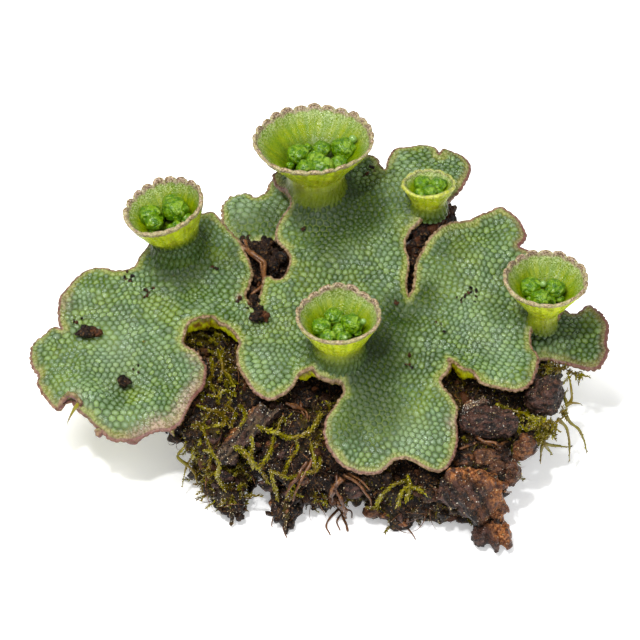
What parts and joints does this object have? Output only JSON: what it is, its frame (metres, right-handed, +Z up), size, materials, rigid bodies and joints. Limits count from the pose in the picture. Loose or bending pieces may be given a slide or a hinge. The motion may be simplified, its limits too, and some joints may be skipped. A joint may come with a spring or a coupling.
{
  "type": "liverwort",
  "caption": "Forking, lobed liverwort thallus with toothed gemma cups, growing on a clod of peaty soil with bark scraps, moss stems and rootlets.",
  "frame": {"origin": "on the ground, under the middle of the whole plant's box", "axes": "+Z up from the ground the clod rests on, +X to the plant's right as the picture shows it, +Y away from the picture's viewer"},
  "size_m": [0.0406, 0.0299, 0.0171],
  "materials": {
    "thallus": "moist grey-green plant skin with a net of small domed cells, yellow-green towards the edge and purple-brown on it",
    "cup": "yellow-green, finely papillate outside, with a pale toothed rim",
    "gemmae": "wet, glossy bright green",
    "soil": "damp, near-black crumbly peat",
    "bark": "rough, layered, orange-brown to dark",
    "moss": "olive to yellow-brown leafy stems",
    "root": "thin brown fibres"
  },
  "bodies": {
    "root": {"thallus_main": "thallus", "thallus_back_left": "thallus", "thallus_right_tip": "thallus", "gemma_cup_back": "cup", "gemma_cup_left": "cup", "gemma_cup_front": "cup", "gemma_cup_small": "cup", "gemma_cup_right": "cup", "gemmae_back": "gemmae", "gemmae_left": "gemmae", "gemmae_front": "gemmae", "gemmae_small": "gemmae", "gemmae_right": "gemmae", "soil_clod": "soil", "crumb_left": "soil", "crumb_left_small": "soil", "crumb_gap": "soil", "bark_strip_front": "bark", "bark_flake_right": "bark", "bark_strip_right": "bark", "bark_block_right": "bark", "bark_lump_right": "bark", "bark_lump_red": "bark", "bark_lump_small": "bark", "moss_front_arc": "moss", "moss_front_low": "moss", "moss_arch": "moss", "moss_left": "moss", "moss_left_top": "moss", "moss_under_lobe": "moss", "moss_right_clump": "moss", "root_orange": "root", "root_fork": "root", "root_middle": "root", "root_under_lobe": "root", "twig_back": "root"}
  },
  "joints": []
}
